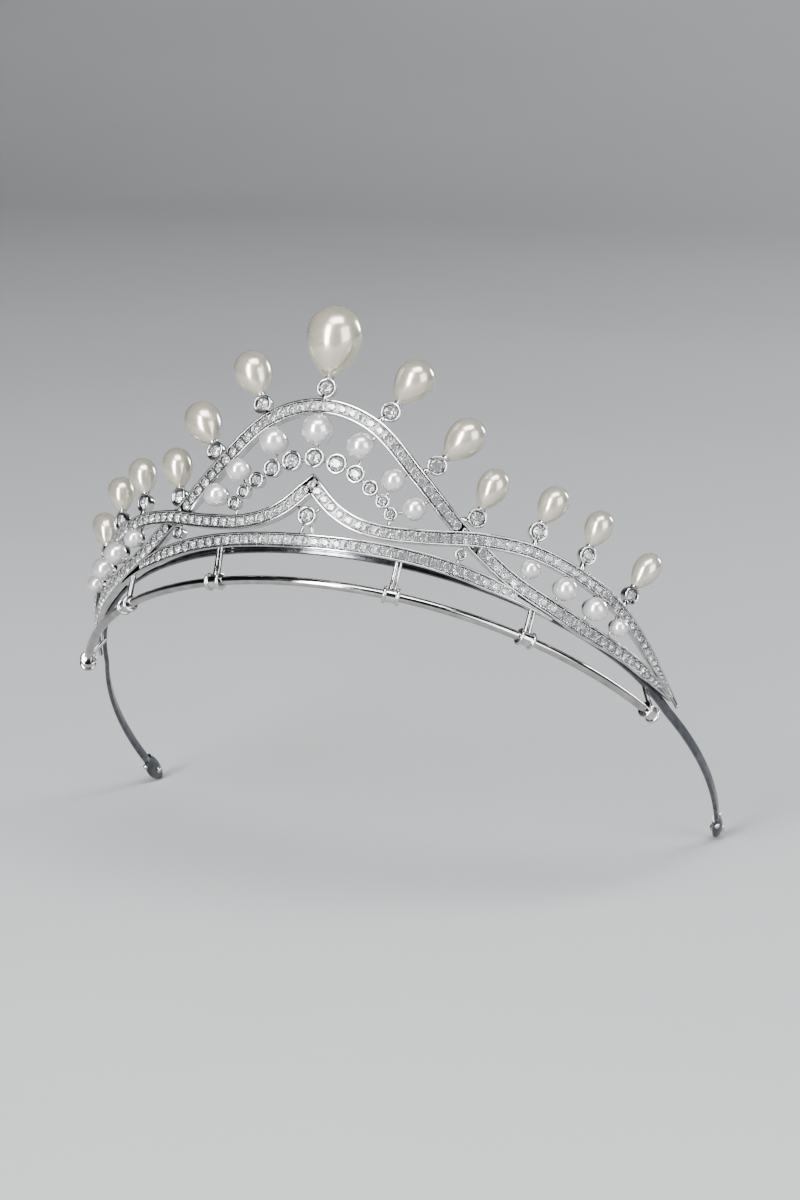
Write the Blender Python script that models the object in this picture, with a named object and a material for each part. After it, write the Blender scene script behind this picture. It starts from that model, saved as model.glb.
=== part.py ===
"""Bridal tiara: an arched, pearl-topped front on a slim headband with two springy side arms.

Flat patterns are laid out along the front as (s, h): s is the distance along the rail from
its centre, positive to +X, and h is the height up the flared front. Sizes are in millimetres.
"""
import math

import bmesh
import bpy
import numpy as np
from mathutils import Matrix, Vector

MM = 0.001
GAP = 0.3

# Headband, seen from above: heading of the rail in radians = a*s + b*s^3 + c*s^5.
TURN = (0.0176, -4.57e-7, 1.05e-11)
TILT = math.radians(42.5)
FLARE = math.radians(18.0)
TUCK = 1.94
TUCK_AT = 80.0

RAIL_RADIUS = 0.85
RAIL_END = 78.8
COLLAR_AT = {"inner": 17.9, "middle": 44.8, "outer": RAIL_END}
COLLAR_LENGTH = 3.3
COLLAR_RADIUS = 1.45
COLLAR_RIM_RADIUS = 1.7
COLLAR_LIP = 0.75
POST_WIDTH = 1.6
POST_THICKNESS = 1.0
POST_SWELL = ((0, 1.15), (0.15, 1.0), (0.85, 1.0), (1, 1.15))  # (share of the height, scale)

STRIP_HEIGHT = 1.8
STRIP_THICKNESS = 0.9
FLEX_AT = 89.0
ARM_END = 131.6
ARM_END_REACH = -1.4
ARM_BOW = 0.5
CAP_LENGTH = 6.4
CAP_WIDTH = 4.2
CAP_THICKNESS = 2.3
CAP_NECK = 0.55
CAP_TIP = 0.45

BAND_DEPTH = 2.2
BAND_TIP_DEPTH = 0.8
BAND_TIP = 89.0
RIM_WIDTH = 0.4
CHANNEL_DEPTH = 0.95
STONE_DEPTH = (-0.6, -0.1)
CROSSING = 29.0
LEG_END = 85.0
ARCH_PAVE_END = 26.0
OGEE_PAVE_END = 76.0
BASE_PAVE_END = 36.0
LEG_PAVE = (34.0, 73.0)
PEAK_MITRE = 1.3  # nothing is drawn nearer than this to the ogee's peak, apart from the mitre itself
CUT_PROUD = 1.0
CUT_DEPTH = 5.0

# Centre lines of the three bands as (s, h), on the right half.
ARCH_LINE = ((0, 33.7), (9, 31.0), (18.2, 22.8), (25.7, 16.4), (36.4, 10.4), (51.7, 7.4), (70, 7.0), (89, 6.5))
OGEE_LINE = ((0, 18.7), (4.2, 14.5), (8.5, 12.2), (12.8, 11.4), (20.6, 12.1), (32.1, 14.8), (40.2, 16.0),
             (49.6, 15.8), (61, 14.3), (70.9, 11.3), (81.6, 8.1), (89, 6.6))
BASE_LINE = ((0, 7.8), (30, 7.7), (40, 6.95), (49, 5.9))
STRIP_LINE = ((0, 7.2), (60, 6.9), (75, 6.4), (88, 5.24), (136.3, 0.2))

# Half-widths of the bands as (s, half-width).
ARCH_WIDTH = ((0, 1.4), (29, 1.4), (50, 1.55), (75, 1.3), (89, 0.3))
OGEE_WIDTH = ((0, 1.4), (50, 1.4), (75, 1.2), (89, 0.3))
BASE_WIDTH = ((0, 1.4), (35, 1.4), (49, 0.3))

# Drop pearls from the centre outwards: collet (s, h), collet radius, pearl (s, h), pearl diameter, length.
DROPS = (
    ((0, 37.8), 1.85, (0, 47.12), 10.8, 14.35),
    ((11.2, 34.6), 1.85, (13.67, 41.13), 7.4, 9.67),
    ((20.6, 26.4), 1.85, (23.82, 32.66), 7.2, 9.77),
    ((29.6, 18.9), 1.8, (30.7, 25.23), 5.9, 8.65),
    ((41.0, 20.6), 1.8, (42.04, 26.63), 5.7, 8.04),
    ((51.8, 20.6), 1.75, (52.09, 26.45), 5.5, 7.61),
    ((64.3, 18.4), 1.7, (65.57, 24.37), 5.3, 8.2),
)
DROP_SET_BACK = -2.44
DROP_COLLET_SET_BACK = -1.27
ARCH_DROPS = 4  # the first drops stand on the arch, the others on the ogee
ARCH_STEM_END = 25.6
OGEE_STEM_END = 80.0
STEM_RADIUS = 0.6
PEG_RADIUS = 0.5

# Round pearls: (s, h), diameter.
ARCH_PEARLS = (((0, 28.7), 6.1), ((7.6, 26.4), 5.4), ((14.0, 21.05), 4.6), ((18.5, 16.6), 4.6))
ARCH_PEARL_PROUD = 0.57
WINDOW_PEARLS = (((41.1, 12.35), 3.8), ((48.8, 11.7), 4.7), ((56.2, 11.05), 4.7), ((62.8, 10.4), 3.6))
WINDOW_PEARL_PROUD = 0.87

# Bezel-set stones of the inner arc: (s, h), collet radius.
ARC_COLLETS = (((0, 23.5), 1.95), ((4.0, 22.7), 2.0), ((7.5, 21.2), 1.8), ((10.4, 19.0), 1.6),
               ((12.9, 16.9), 1.4), ((14.7, 14.8), 1.35))
ARC_PROUD = 0.43
PEAK_COLLET = ((0, 12.4), 1.85)
STRUT_ABOVE = 2.3
STRUT_BELOW = 1.3
SIDE_COLLET = ((28.3, 10.8), 1.2)
SIDE_PROUD = 0.2
COLLET_DEPTH = 2.0
COLLET_SEAT = 0.7
COLLET_WALL = 0.35
COLLET_TAPER = 0.85
JOIN_DEPTH = 1.2  # wires meet the collets and bands this far behind their faces
LINK_RADIUS = 0.4

PEARL_SIDES = 12
PEARL_RINGS = 8
TUBE_SIDES = 10
ROD_SIDES = 6
TEARDROP = 0.5  # 0 is a ball; larger draws the narrow end out


# ---------------------------------------------------------------- flat patterns

def through(knots, level_start=False):
    """A smooth curve through (s, value) knots, even in s. Returns a function of s."""
    at = np.array([k[0] for k in knots], float)
    value = np.array([k[1] for k in knots], float)
    slope = np.gradient(value, at)
    if level_start:
        slope[0] = 0.0

    def curve(s):
        s = min(abs(s), at[-1])
        i = min(int(np.searchsorted(at, s, side="right")) - 1, len(at) - 2)
        span = at[i + 1] - at[i]
        t = (s - at[i]) / span
        start = value[i] * (1 + 2 * t) * (1 - t) ** 2 + slope[i] * span * t * (1 - t) ** 2
        finish = value[i + 1] * t * t * (3 - 2 * t) - slope[i + 1] * span * t * t * (1 - t)
        return start + finish

    return curve


def straight_between(knots):
    """Straight runs through (s, value) knots, even in s."""
    at = [k[0] for k in knots]
    value = [k[1] for k in knots]
    return lambda s: float(np.interp(abs(s), at, value))


arch_height = through(ARCH_LINE, level_start=True)
ogee_height = through(OGEE_LINE)
base_height = through(BASE_LINE, level_start=True)
strip_height = through(STRIP_LINE, level_start=True)
arch_width = straight_between(ARCH_WIDTH)
ogee_width = straight_between(OGEE_WIDTH)
base_width = straight_between(BASE_WIDTH)


def band_depth(s):
    return BAND_DEPTH - (BAND_DEPTH - BAND_TIP_DEPTH) * (min(abs(s), BAND_TIP) / BAND_TIP) ** 2


def stations(start, stop, spacing):
    return np.linspace(start, stop, max(2, round(abs(stop - start) / spacing) + 1))


# ---------------------------------------------------------------- the headband's surface

PLAN_STEP = 0.1
PLAN_S = np.arange(0, 150, PLAN_STEP)
PLAN_HEADING = TURN[0] * PLAN_S + TURN[1] * PLAN_S**3 + TURN[2] * PLAN_S**5


def running_total(values):
    return np.concatenate([[0], np.cumsum((values[1:] + values[:-1]) / 2) * PLAN_STEP])


PLAN_X = running_total(np.cos(PLAN_HEADING))
PLAN_Y = running_total(np.sin(PLAN_HEADING))


def plan_point(s):
    x = float(np.interp(abs(s), PLAN_S, PLAN_X))
    y = float(np.interp(abs(s), PLAN_S, PLAN_Y))
    return Vector((math.copysign(x, s), y, 0))


def outward(s):
    turn = math.copysign(float(np.interp(abs(s), PLAN_S, PLAN_HEADING)), s)
    return Vector((math.sin(turn), -math.cos(turn), 0))


def facing(s, flare=FLARE):
    """Normal of the flared front at s, pointing away from the head."""
    return outward(s) * math.cos(flare) - Vector((0, 0, math.sin(flare)))


def rising(s, flare=FLARE):
    """Direction up the flared front at s."""
    return outward(s) * math.sin(flare) + Vector((0, 0, math.cos(flare)))


def on_front(s, h, proud=0.0):
    """Point of the front at (s, h), standing proud by a distance measured level and outwards."""
    reach = proud - TUCK * (s / TUCK_AT) ** 2
    return plan_point(s) + outward(s) * reach + rising(s) * h


def behind_bands(s):
    """Centre of the backing strip at s, one clearance behind the bands."""
    back = band_depth(s) + GAP + STRIP_THICKNESS / 2
    h = (strip_height(s) - back * math.sin(FLARE)) / math.cos(FLARE)
    return on_front(s, h) - facing(s) * back


def arm_centre(s):
    """Centre of a side arm at s: it leaves the strip and runs down to the rail's own plane."""
    side = math.copysign(1, s)
    root = behind_bands(side * FLEX_AT) - plan_point(side * FLEX_AT)
    root_reach = root.dot(outward(side * FLEX_AT))
    t = (abs(s) - FLEX_AT) / (STRIP_LINE[-1][0] - FLEX_AT)
    reach = root_reach * (1 - t) + ARM_END_REACH * t + ARM_BOW * math.sin(math.pi * t)
    height = root.z * (1 - t) + STRIP_LINE[-1][1] * t
    return plan_point(s) + outward(s) * reach + Vector((0, 0, height))


def arm_flare(s):
    return FLARE * max(0.0, 1 - (abs(s) - FLEX_AT) / (ARM_END - FLEX_AT))


# ---------------------------------------------------------------- building helpers

def finish(name, colour, roughness, metallic):
    material = bpy.data.materials.new(name)
    material.use_nodes = True
    shader = material.node_tree.nodes["Principled BSDF"]
    shader.inputs["Base Color"].default_value = (*colour, 1)
    shader.inputs["Roughness"].default_value = roughness
    shader.inputs["Metallic"].default_value = metallic
    return material


def new_object(name, mesh, material=None, origin=Vector((0, 0, 0)), parent=None):
    """Links an object whose mesh is already in the headband's frame, with its origin moved to origin."""
    mesh.transform(Matrix.Translation(-origin))
    mesh.transform(Matrix.Scale(MM, 4))
    mesh.shade_smooth()
    mesh.set_sharp_from_angle(angle=math.radians(35))
    if material:
        mesh.materials.append(material)
    made = bpy.data.objects.new(name, mesh)
    made.location = origin * MM
    made.parent = parent or headband
    bpy.context.collection.objects.link(made)
    return made


def lofted(name, rings):
    """A closed mesh through rings of equally many points."""
    shell = bmesh.new()
    loops = [[shell.verts.new(point) for point in ring] for ring in rings]
    count = len(loops[0])
    for near, far in zip(loops, loops[1:]):
        for i in range(count):
            j = (i + 1) % count
            shell.faces.new((near[i], near[j], far[j], far[i]))
    shell.faces.new(loops[0])
    shell.faces.new(loops[-1])
    bmesh.ops.recalc_face_normals(shell, faces=shell.faces)
    mesh = bpy.data.meshes.new(name)
    shell.to_mesh(mesh)
    shell.free()
    return mesh


def turned(name, profile, centre, axis, sides, ring=False):
    """A turned solid: profile points are (radius, height along axis). A ring has a closed profile."""
    spun = bmesh.new()
    points = [spun.verts.new((radius, 0, height)) for radius, height in profile]
    pairs = list(zip(points, points[1:] + points[:1] if ring else points[1:]))
    edges = [spun.edges.new(pair) for pair in pairs]
    bmesh.ops.spin(spun, geom=points + edges, axis=(0, 0, 1), cent=(0, 0, 0),
                   angle=math.tau, steps=sides, use_merge=True)
    bmesh.ops.remove_doubles(spun, verts=spun.verts, dist=1e-5)
    bmesh.ops.recalc_face_normals(spun, faces=spun.faces)
    mesh = bpy.data.meshes.new(name)
    spun.to_mesh(mesh)
    spun.free()
    turn = axis.to_track_quat("Z", "Y").to_matrix().to_4x4()
    mesh.transform(Matrix.Translation(centre) @ turn)
    return mesh


def rod(name, start, end, radius):
    length = (end - start).length
    profile = ((0, 0), (radius, 0), (radius, length), (0, length))
    return turned(name, profile, start, end - start, ROD_SIDES)


def cup(name, place, proud, radius):
    """A collet: a short tube with a floor, open to the front for its stone."""
    back = -COLLET_DEPTH
    seat = -COLLET_SEAT
    profile = ((0, back), (radius * COLLET_TAPER, back), (radius, seat), (radius, 0),
               (radius - COLLET_WALL, 0), (radius - COLLET_WALL, seat), (0, seat))
    return turned(name, profile, on_front(*place, proud), facing(place[0]), TUBE_SIDES)


def joint(place, proud=0.0):
    """The point behind a place on the front where wires meet."""
    return on_front(*place, proud) - facing(place[0]) * JOIN_DEPTH


def hidden(name, mesh):
    """A guide object for a Boolean, which isn't a piece itself."""
    guide = new_object(name, mesh)
    bpy.context.collection.objects.unlink(guide)
    guide.hide_render = True
    guide.display_type = "WIRE"
    return guide


def combine(target, operation, meshes):
    """Joins meshes to the target, or cuts them out of it."""
    group = bpy.data.collections.new(f"{target.name}_{operation.lower()}")
    bpy.context.scene.collection.children.link(group)
    for mesh in meshes:
        group.objects.link(hidden(f"{target.name}_{mesh.name}", mesh))
    modifier = target.modifiers.new(operation.title(), "BOOLEAN")
    modifier.operation = operation
    modifier.operand_type = "COLLECTION"
    modifier.collection = group
    modifier.solver = "EXACT"


# ---------------------------------------------------------------- bands

def pattern_normal(height, s):
    """Upward unit normal of a centre line in the flat pattern, and how much a mitre stretches it."""
    if s == 0:
        slope = (height(0.5) - height(0)) / 0.5
        return 0.0, 1.0, math.hypot(1, slope)
    step = math.copysign(0.05, s)
    slope = (height(s) - height(s - step)) / step
    length = math.hypot(1, slope)
    return -slope / length, 1 / length, 1.0


def swept(name, height, outline, places):
    """Sweeps a cross-section along a centre line on the front.

    outline(s) gives (across, proud) points: across the band upwards, and proud of its face.
    """
    rings = []
    for s in places:
        s = float(s)
        step_s, step_h, mitre = pattern_normal(height, s)
        ring = []
        for across, proud in outline(s):
            at = s + step_s * across * mitre
            ring.append(on_front(at, height(s) + step_h * across * mitre) + facing(at) * proud)
        rings.append(ring)
    return lofted(name, rings)


def channel(width):
    """Cross-section of a band with a raised rim along each edge and a sunk channel for the stones."""
    def outline(s):
        half = width(s)
        rim = min(RIM_WIDTH, half * 0.5)
        floor = -CHANNEL_DEPTH * min(1, half)
        back = -band_depth(s)
        return ((-half, 0), (-half + rim, 0), (-half + rim, floor), (half - rim, floor),
                (half - rim, 0), (half, 0), (half, back), (-half, back))
    return outline


def stone_row(width):
    """Cross-section of a row of pave stones, clear of the channel that holds it."""
    def outline(s):
        half = width(s) - RIM_WIDTH - GAP
        low, high = STONE_DEPTH
        return ((-half, high), (half, high), (half, low), (-half, low))
    return outline


def clearance(width):
    """Cross-section of the space that a band needs, deeper than the band and proud of it."""
    def outline(s):
        half = width(s) + GAP
        return ((-half, CUT_PROUD), (half, CUT_PROUD), (half, -CUT_DEPTH), (-half, -CUT_DEPTH))
    return outline


def ogee_places(end, spacing):
    """Stations along the ogee, with a mitre at its peak and none too near to it."""
    side = stations(PEAK_MITRE, end, spacing)
    return np.concatenate([-side[::-1], [0], side])


def ogee_cutter():
    return swept("ogee_space", ogee_height, clearance(ogee_width), ogee_places(BAND_TIP, 2.5))


def leg_cutter(side):
    places = stations(side * CROSSING, side * (LEG_END + 2), 3)
    return swept("leg_space", arch_height, clearance(arch_width), places)


def edge_nearest(height, width, place, furthest):
    """The point of a band's upper rim nearest to a place, no further out than furthest."""
    s, h = place
    tries = np.arange(0, furthest + 0.01, 0.1) * math.copysign(1, s)
    root = min(((float(t), height(t)) for t in tries), key=lambda p: math.hypot(p[0] - s, p[1] - h))
    away = math.hypot(s - root[0], h - root[1])
    share = (width(root[0]) - RIM_WIDTH * 0.7) / away
    return root[0] + (s - root[0]) * share, root[1] + (h - root[1]) * share


def mirrored(place, side):
    return (place[0] * side, place[1])


def drop_mount(index, side, height, width, furthest):
    """A drop pearl's collet, its stem down to the band and its peg up to the pearl."""
    place, radius, pearl, _, length = DROPS[index]
    place = mirrored(place, side)
    root = edge_nearest(height, width, place, furthest)
    centre = joint(place, DROP_COLLET_SET_BACK)
    pearl_centre = on_front(*mirrored(pearl, side), DROP_SET_BACK)
    peg = pearl_centre - centre
    top = centre + peg.normalized() * (peg.length - length / 2 - GAP)
    tag = f"{index}_{'left' if side < 0 else 'right'}"
    return [cup(f"collet_{tag}", place, DROP_COLLET_SET_BACK, radius),
            rod(f"stem_{tag}", joint(root), centre, STEM_RADIUS),
            rod(f"peg_{tag}", centre, top, PEG_RADIUS)]


def both_sides(index):
    return (1,) if index == 0 else (-1, 1)


def build_bands():
    arch_places = stations(-CROSSING, CROSSING, 2.4)
    arch = new_object("arch_band", swept("arch_band", arch_height, channel(arch_width), arch_places), metal)
    mounts = [mesh for i in range(ARCH_DROPS) for side in both_sides(i)
              for mesh in drop_mount(i, side, arch_height, arch_width, ARCH_STEM_END)]
    combine(arch, "UNION", mounts)
    combine(arch, "DIFFERENCE", [ogee_cutter()])

    ogee = new_object("ogee_band", swept("ogee_band", ogee_height, channel(ogee_width),
                                         ogee_places(BAND_TIP, 2.6)), metal)
    mounts = [mesh for i in range(ARCH_DROPS, len(DROPS)) for side in (-1, 1)
              for mesh in drop_mount(i, side, ogee_height, ogee_width, OGEE_STEM_END)]
    combine(ogee, "UNION", mounts)

    for side, word in ((-1, "left"), (1, "right")):
        places = stations(side * CROSSING, side * LEG_END, 2.8)
        leg = new_object(f"{word}_leg_band", swept("leg", arch_height, channel(arch_width), places), metal)
        combine(leg, "DIFFERENCE", [ogee_cutter()])

    base_places = stations(-BASE_LINE[-1][0], BASE_LINE[-1][0], 3)
    base = new_object("base_band", swept("base", base_height, channel(base_width), base_places), metal)
    combine(base, "DIFFERENCE", [leg_cutter(-1), leg_cutter(1)])


def build_stone_rows():
    """The pave stones of each band, as one strip that stands for the row."""
    arch = swept("arch_pave", arch_height, stone_row(arch_width),
                 stations(-ARCH_PAVE_END, ARCH_PAVE_END, 2.6))
    combine(new_object("arch_pave", arch, crystal), "DIFFERENCE", [ogee_cutter()])
    new_object("ogee_pave", swept("ogee_pave", ogee_height, stone_row(ogee_width),
                                  ogee_places(OGEE_PAVE_END, 3)), crystal)
    new_object("base_pave", swept("base_pave", base_height, stone_row(base_width),
                                  stations(-BASE_PAVE_END, BASE_PAVE_END, 3)), crystal)
    for side, word in ((-1, "left"), (1, "right")):
        leg = swept("leg_pave", arch_height, stone_row(arch_width),
                    stations(side * LEG_PAVE[0], side * LEG_PAVE[1], 3))
        new_object(f"{word}_leg_pave", leg, crystal)


# ---------------------------------------------------------------- collets inside the front

def build_arc():
    """The chain of bezel-set stones inside the arch, soldered to each other and to the ogee."""
    places = [(mirrored(place, side), radius, index) for index, (place, radius) in enumerate(ARC_COLLETS)
              for side in both_sides(index)]
    cups = [cup(f"arc_{i}", place, ARC_PROUD, radius) for i, (place, radius, _) in enumerate(places)]
    centres = {(i, place[0] > 0): joint(place, ARC_PROUD) for place, _, i in places}
    centres[(0, True)] = centres[(0, False)]
    links = []
    for right in (False, True):
        for i in range(len(ARC_COLLETS) - 1):
            links.append(rod(f"link_{i}", centres[(i, right)], centres[(i + 1, right)], LINK_RADIUS))
        s = ARC_COLLETS[-1][0][0] * (1 if right else -1)
        foot = joint((s, ogee_height(s) + ogee_width(s) + GAP + 0.05), ARC_PROUD)
        links.append(rod("foot", centres[(len(ARC_COLLETS) - 1, right)], foot, LINK_RADIUS))
    arc = new_object("arc_collets", cups[0], metal)
    combine(arc, "UNION", cups[1:] + links)


def build_peak_collet():
    """The stone under the ogee's peak, held by two struts above it and two below."""
    place, radius = PEAK_COLLET
    collet = new_object("peak_collet", cup("peak_collet", place, ARC_PROUD, radius), metal)
    struts = []
    for side in (-1, 1):
        above = ogee_height(STRUT_ABOVE) - ogee_width(STRUT_ABOVE) * math.sqrt(2) - GAP
        below = base_height(STRUT_BELOW) + base_width(STRUT_BELOW) + GAP
        for end in ((STRUT_ABOVE * side, above), (STRUT_BELOW * side, below)):
            struts.append(rod("strut", joint(place), joint(end), LINK_RADIUS))
    combine(collet, "UNION", struts)


def build_side_collets():
    for side, word in ((-1, "left"), (1, "right")):
        place = mirrored(SIDE_COLLET[0], side)
        collet = new_object(f"{word}_side_collet",
                            cup("side_collet", place, SIDE_PROUD, SIDE_COLLET[1]), metal)
        s = place[0]
        ends = (ogee_height(s) - ogee_width(s) - GAP - 0.1, base_height(s) + base_width(s) + GAP)
        links = [rod("link", joint(place), joint((s, end)), LINK_RADIUS) for end in ends]
        combine(collet, "UNION", links)


# ---------------------------------------------------------------- pearls

def drop_profile(diameter, length):
    """A teardrop from its narrow end to its round end, as (radius, height)."""
    turns = np.linspace(0, math.pi, PEARL_RINGS + 1)
    bulge = np.sin(turns) * np.sin(turns / 2) ** TEARDROP
    bulge[-1] = 0
    fine = np.linspace(0, math.pi, 200)
    widest = (np.sin(fine) * np.sin(fine / 2) ** TEARDROP).max()
    return [(float(b / widest * diameter / 2), float(-math.cos(t) * length / 2))
            for t, b in zip(turns, bulge)]


def round_profile(diameter):
    turns = np.linspace(0, math.pi, PEARL_RINGS + 1)
    radii = np.sin(turns)
    radii[-1] = 0
    return [(float(r * diameter / 2), float(-math.cos(t) * diameter / 2)) for t, r in zip(turns, radii)]


def pearl_name(kind, index, side):
    if index == 0:
        return f"{kind}_centre"
    return f"{kind}_{'left' if side < 0 else 'right'}_{index}"


def build_pearls():
    for index, (collet, _, place, diameter, length) in enumerate(DROPS):
        for side in both_sides(index):
            centre = on_front(*mirrored(place, side), DROP_SET_BACK)
            foot = joint(mirrored(collet, side), DROP_COLLET_SET_BACK)
            name = pearl_name("drop_pearl", index, side)
            mesh = turned(name, drop_profile(diameter, length), centre, centre - foot, PEARL_SIDES)
            new_object(name, mesh, drop_nacre)
    for index, (place, diameter) in enumerate(ARCH_PEARLS):
        for side in both_sides(index):
            name = pearl_name("round_pearl", index, side)
            centre = on_front(*mirrored(place, side), ARCH_PEARL_PROUD)
            new_object(name, turned(name, round_profile(diameter), centre, facing(place[0] * side),
                                    PEARL_SIDES), round_nacre)
    for index, (place, diameter) in enumerate(WINDOW_PEARLS, 1):
        for side in (-1, 1):
            name = pearl_name("window_pearl", index, side)
            centre = on_front(*mirrored(place, side), WINDOW_PEARL_PROUD)
            new_object(name, turned(name, round_profile(diameter), centre, facing(place[0] * side),
                                    PEARL_SIDES), round_nacre)


# ---------------------------------------------------------------- headband

def strap_ring(centre, up, face):
    high = up * (STRIP_HEIGHT / 2)
    deep = face * (STRIP_THICKNESS / 2)
    return [centre - high + deep, centre + high + deep, centre + high - deep, centre - high - deep]


def build_backing_strip():
    rings = [strap_ring(behind_bands(s), rising(s), facing(s))
             for s in stations(-FLEX_AT + GAP / 2, FLEX_AT - GAP / 2, 3.4)]
    new_object("backing_strip", lofted("backing_strip", rings), metal)


def build_arm(side, word):
    """A springy side arm and its end cap, on an empty at the place where the arm bends."""
    flex_point = behind_bands(side * FLEX_AT)
    flex = bpy.data.objects.new(f"{word}_flex_axis", None)
    flex.location = flex_point * MM
    flex.parent = headband
    bpy.context.collection.objects.link(flex)

    rings = []
    for s in stations(FLEX_AT + GAP / 2, ARM_END, 3.0):
        flare = arm_flare(s)
        rings.append(strap_ring(arm_centre(side * s), rising(side * s, flare), facing(side * s, flare)))
    arm = new_object(f"{word}_arm", lofted("arm", rings), metal, flex_point, flex)

    root = arm_centre(side * (ARM_END + GAP))
    along = (arm_centre(side * (ARM_END + GAP + 1)) - root).normalized()
    face = facing(side * ARM_END, 0)
    face = (face - along * face.dot(along)).normalized()
    up = along.cross(face) * -side
    half = CAP_THICKNESS / 2
    rings = []
    for t in np.linspace(0, 1, 9):
        bulge = math.sin(math.pi * min(1, t * 1.15) ** 0.8)
        swell = CAP_NECK + (1 - CAP_NECK) * bulge if t < 0.9 else CAP_TIP
        centre = root + along * (CAP_LENGTH * t)
        across = CAP_WIDTH / 2 * swell
        dome = -half + CAP_THICKNESS * swell
        outline = ((-1, -half), (-1, -half * 0.2), (-0.6, dome * 0.9), (0, dome),
                   (0.6, dome * 0.9), (1, -half * 0.2), (1, -half))
        rings.append([centre + up * (across * u) + face * d for u, d in outline])
    cap = new_object(f"{word}_end_cap", lofted("end_cap", rings), metal, flex_point, flex)
    for piece in (arm, cap):
        piece.location = (0, 0, 0)


def build_rail():
    """The round wire that lies on the hair, its three collars a side and their posts."""
    wire = bpy.data.curves.new("rail_wire", "CURVE")
    wire.dimensions = "3D"
    wire.bevel_depth = RAIL_RADIUS * MM
    wire.bevel_resolution = 2
    wire.use_fill_caps = True
    wire.materials.append(metal)
    run = wire.splines.new("POLY")
    places = stations(-RAIL_END, RAIL_END, 3.2)
    run.points.add(len(places) - 1)
    for point, s in zip(run.points, places):
        point.co = (*(plan_point(float(s)) * MM), 1)
    rail = bpy.data.objects.new("rail_wire", wire)
    rail.parent = headband
    bpy.context.collection.objects.link(rail)

    for side, word in ((-1, "left"), (1, "right")):
        for which in COLLAR_AT:
            build_collar(which, side, word)


def post_top(which, s):
    """Where a post ends: under the base band, or at the rail's ends under the backing strip."""
    if which == "outer":
        return behind_bands(s) - rising(s) * (STRIP_HEIGHT / 2 + GAP)
    return on_front(s, base_height(s) - base_width(s) - GAP) - facing(s) * (band_depth(s) / 2)


def build_collar(which, side, word):
    """A collar on the rail and the post that stands on it."""
    s = side * COLLAR_AT[which]
    along = Vector((-outward(s).y, outward(s).x, 0))
    half = COLLAR_LENGTH / 2
    groove = half - COLLAR_LIP
    bore = RAIL_RADIUS + GAP
    profile = ((bore, -half), (COLLAR_RIM_RADIUS, -half), (COLLAR_RIM_RADIUS, -groove),
               (COLLAR_RADIUS, -groove), (COLLAR_RADIUS, groove), (COLLAR_RIM_RADIUS, groove),
               (COLLAR_RIM_RADIUS, half), (bore, half))
    collar = turned(f"collar_{which}", profile, plan_point(s), along, TUBE_SIDES, ring=True)
    new_object(f"rail_collar_{which}_{word}", collar, metal)

    bottom = plan_point(s) + Vector((0, 0, COLLAR_RADIUS + GAP + 0.05))
    top = post_top(which, s)
    rings = []
    for share, swell in POST_SWELL:
        rings.append([bottom.lerp(top, share) + (along * (math.cos(a) * POST_WIDTH / 2)
                                                 + outward(s) * (math.sin(a) * POST_THICKNESS / 2)) * swell
                      for a in np.linspace(0, math.tau, TUBE_SIDES, endpoint=False)])
    new_object(f"rail_post_{which}_{word}", lofted("post", rings), metal)


for old in list(bpy.data.objects):
    bpy.data.objects.remove(old)

headband = bpy.data.objects.new("headband_frame", None)
headband.rotation_euler.x = -TILT
bpy.context.collection.objects.link(headband)

metal = finish("rhodium_plate", (0.86, 0.86, 0.87), 0.12, 1.0)
crystal = finish("clear_crystal", (0.92, 0.94, 0.96), 0.03, 0.0)
drop_nacre = finish("drop_nacre", (0.88, 0.86, 0.8), 0.22, 0.0)
round_nacre = finish("round_nacre", (0.9, 0.87, 0.87), 0.22, 0.0)

build_bands()
build_stone_rows()
build_arc()
build_peak_collet()
build_side_collets()
build_pearls()
build_backing_strip()
build_rail()
build_arm(-1, "left")
build_arm(1, "right")
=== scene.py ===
# %% [markdown]
# # A pearl and pave tiara
#
# The tiara is a small piece of goldsmith's work: five channels of pave stones, bent along a
# headband, with drop pearls on top and round pearls inside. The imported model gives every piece's
# place. Here each piece gets the shape and finish that a jeweller would see under a loupe.

# %% Load the frame
import math
import random

import bpy
import numpy as np
from mathutils import Matrix, Vector


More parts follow.
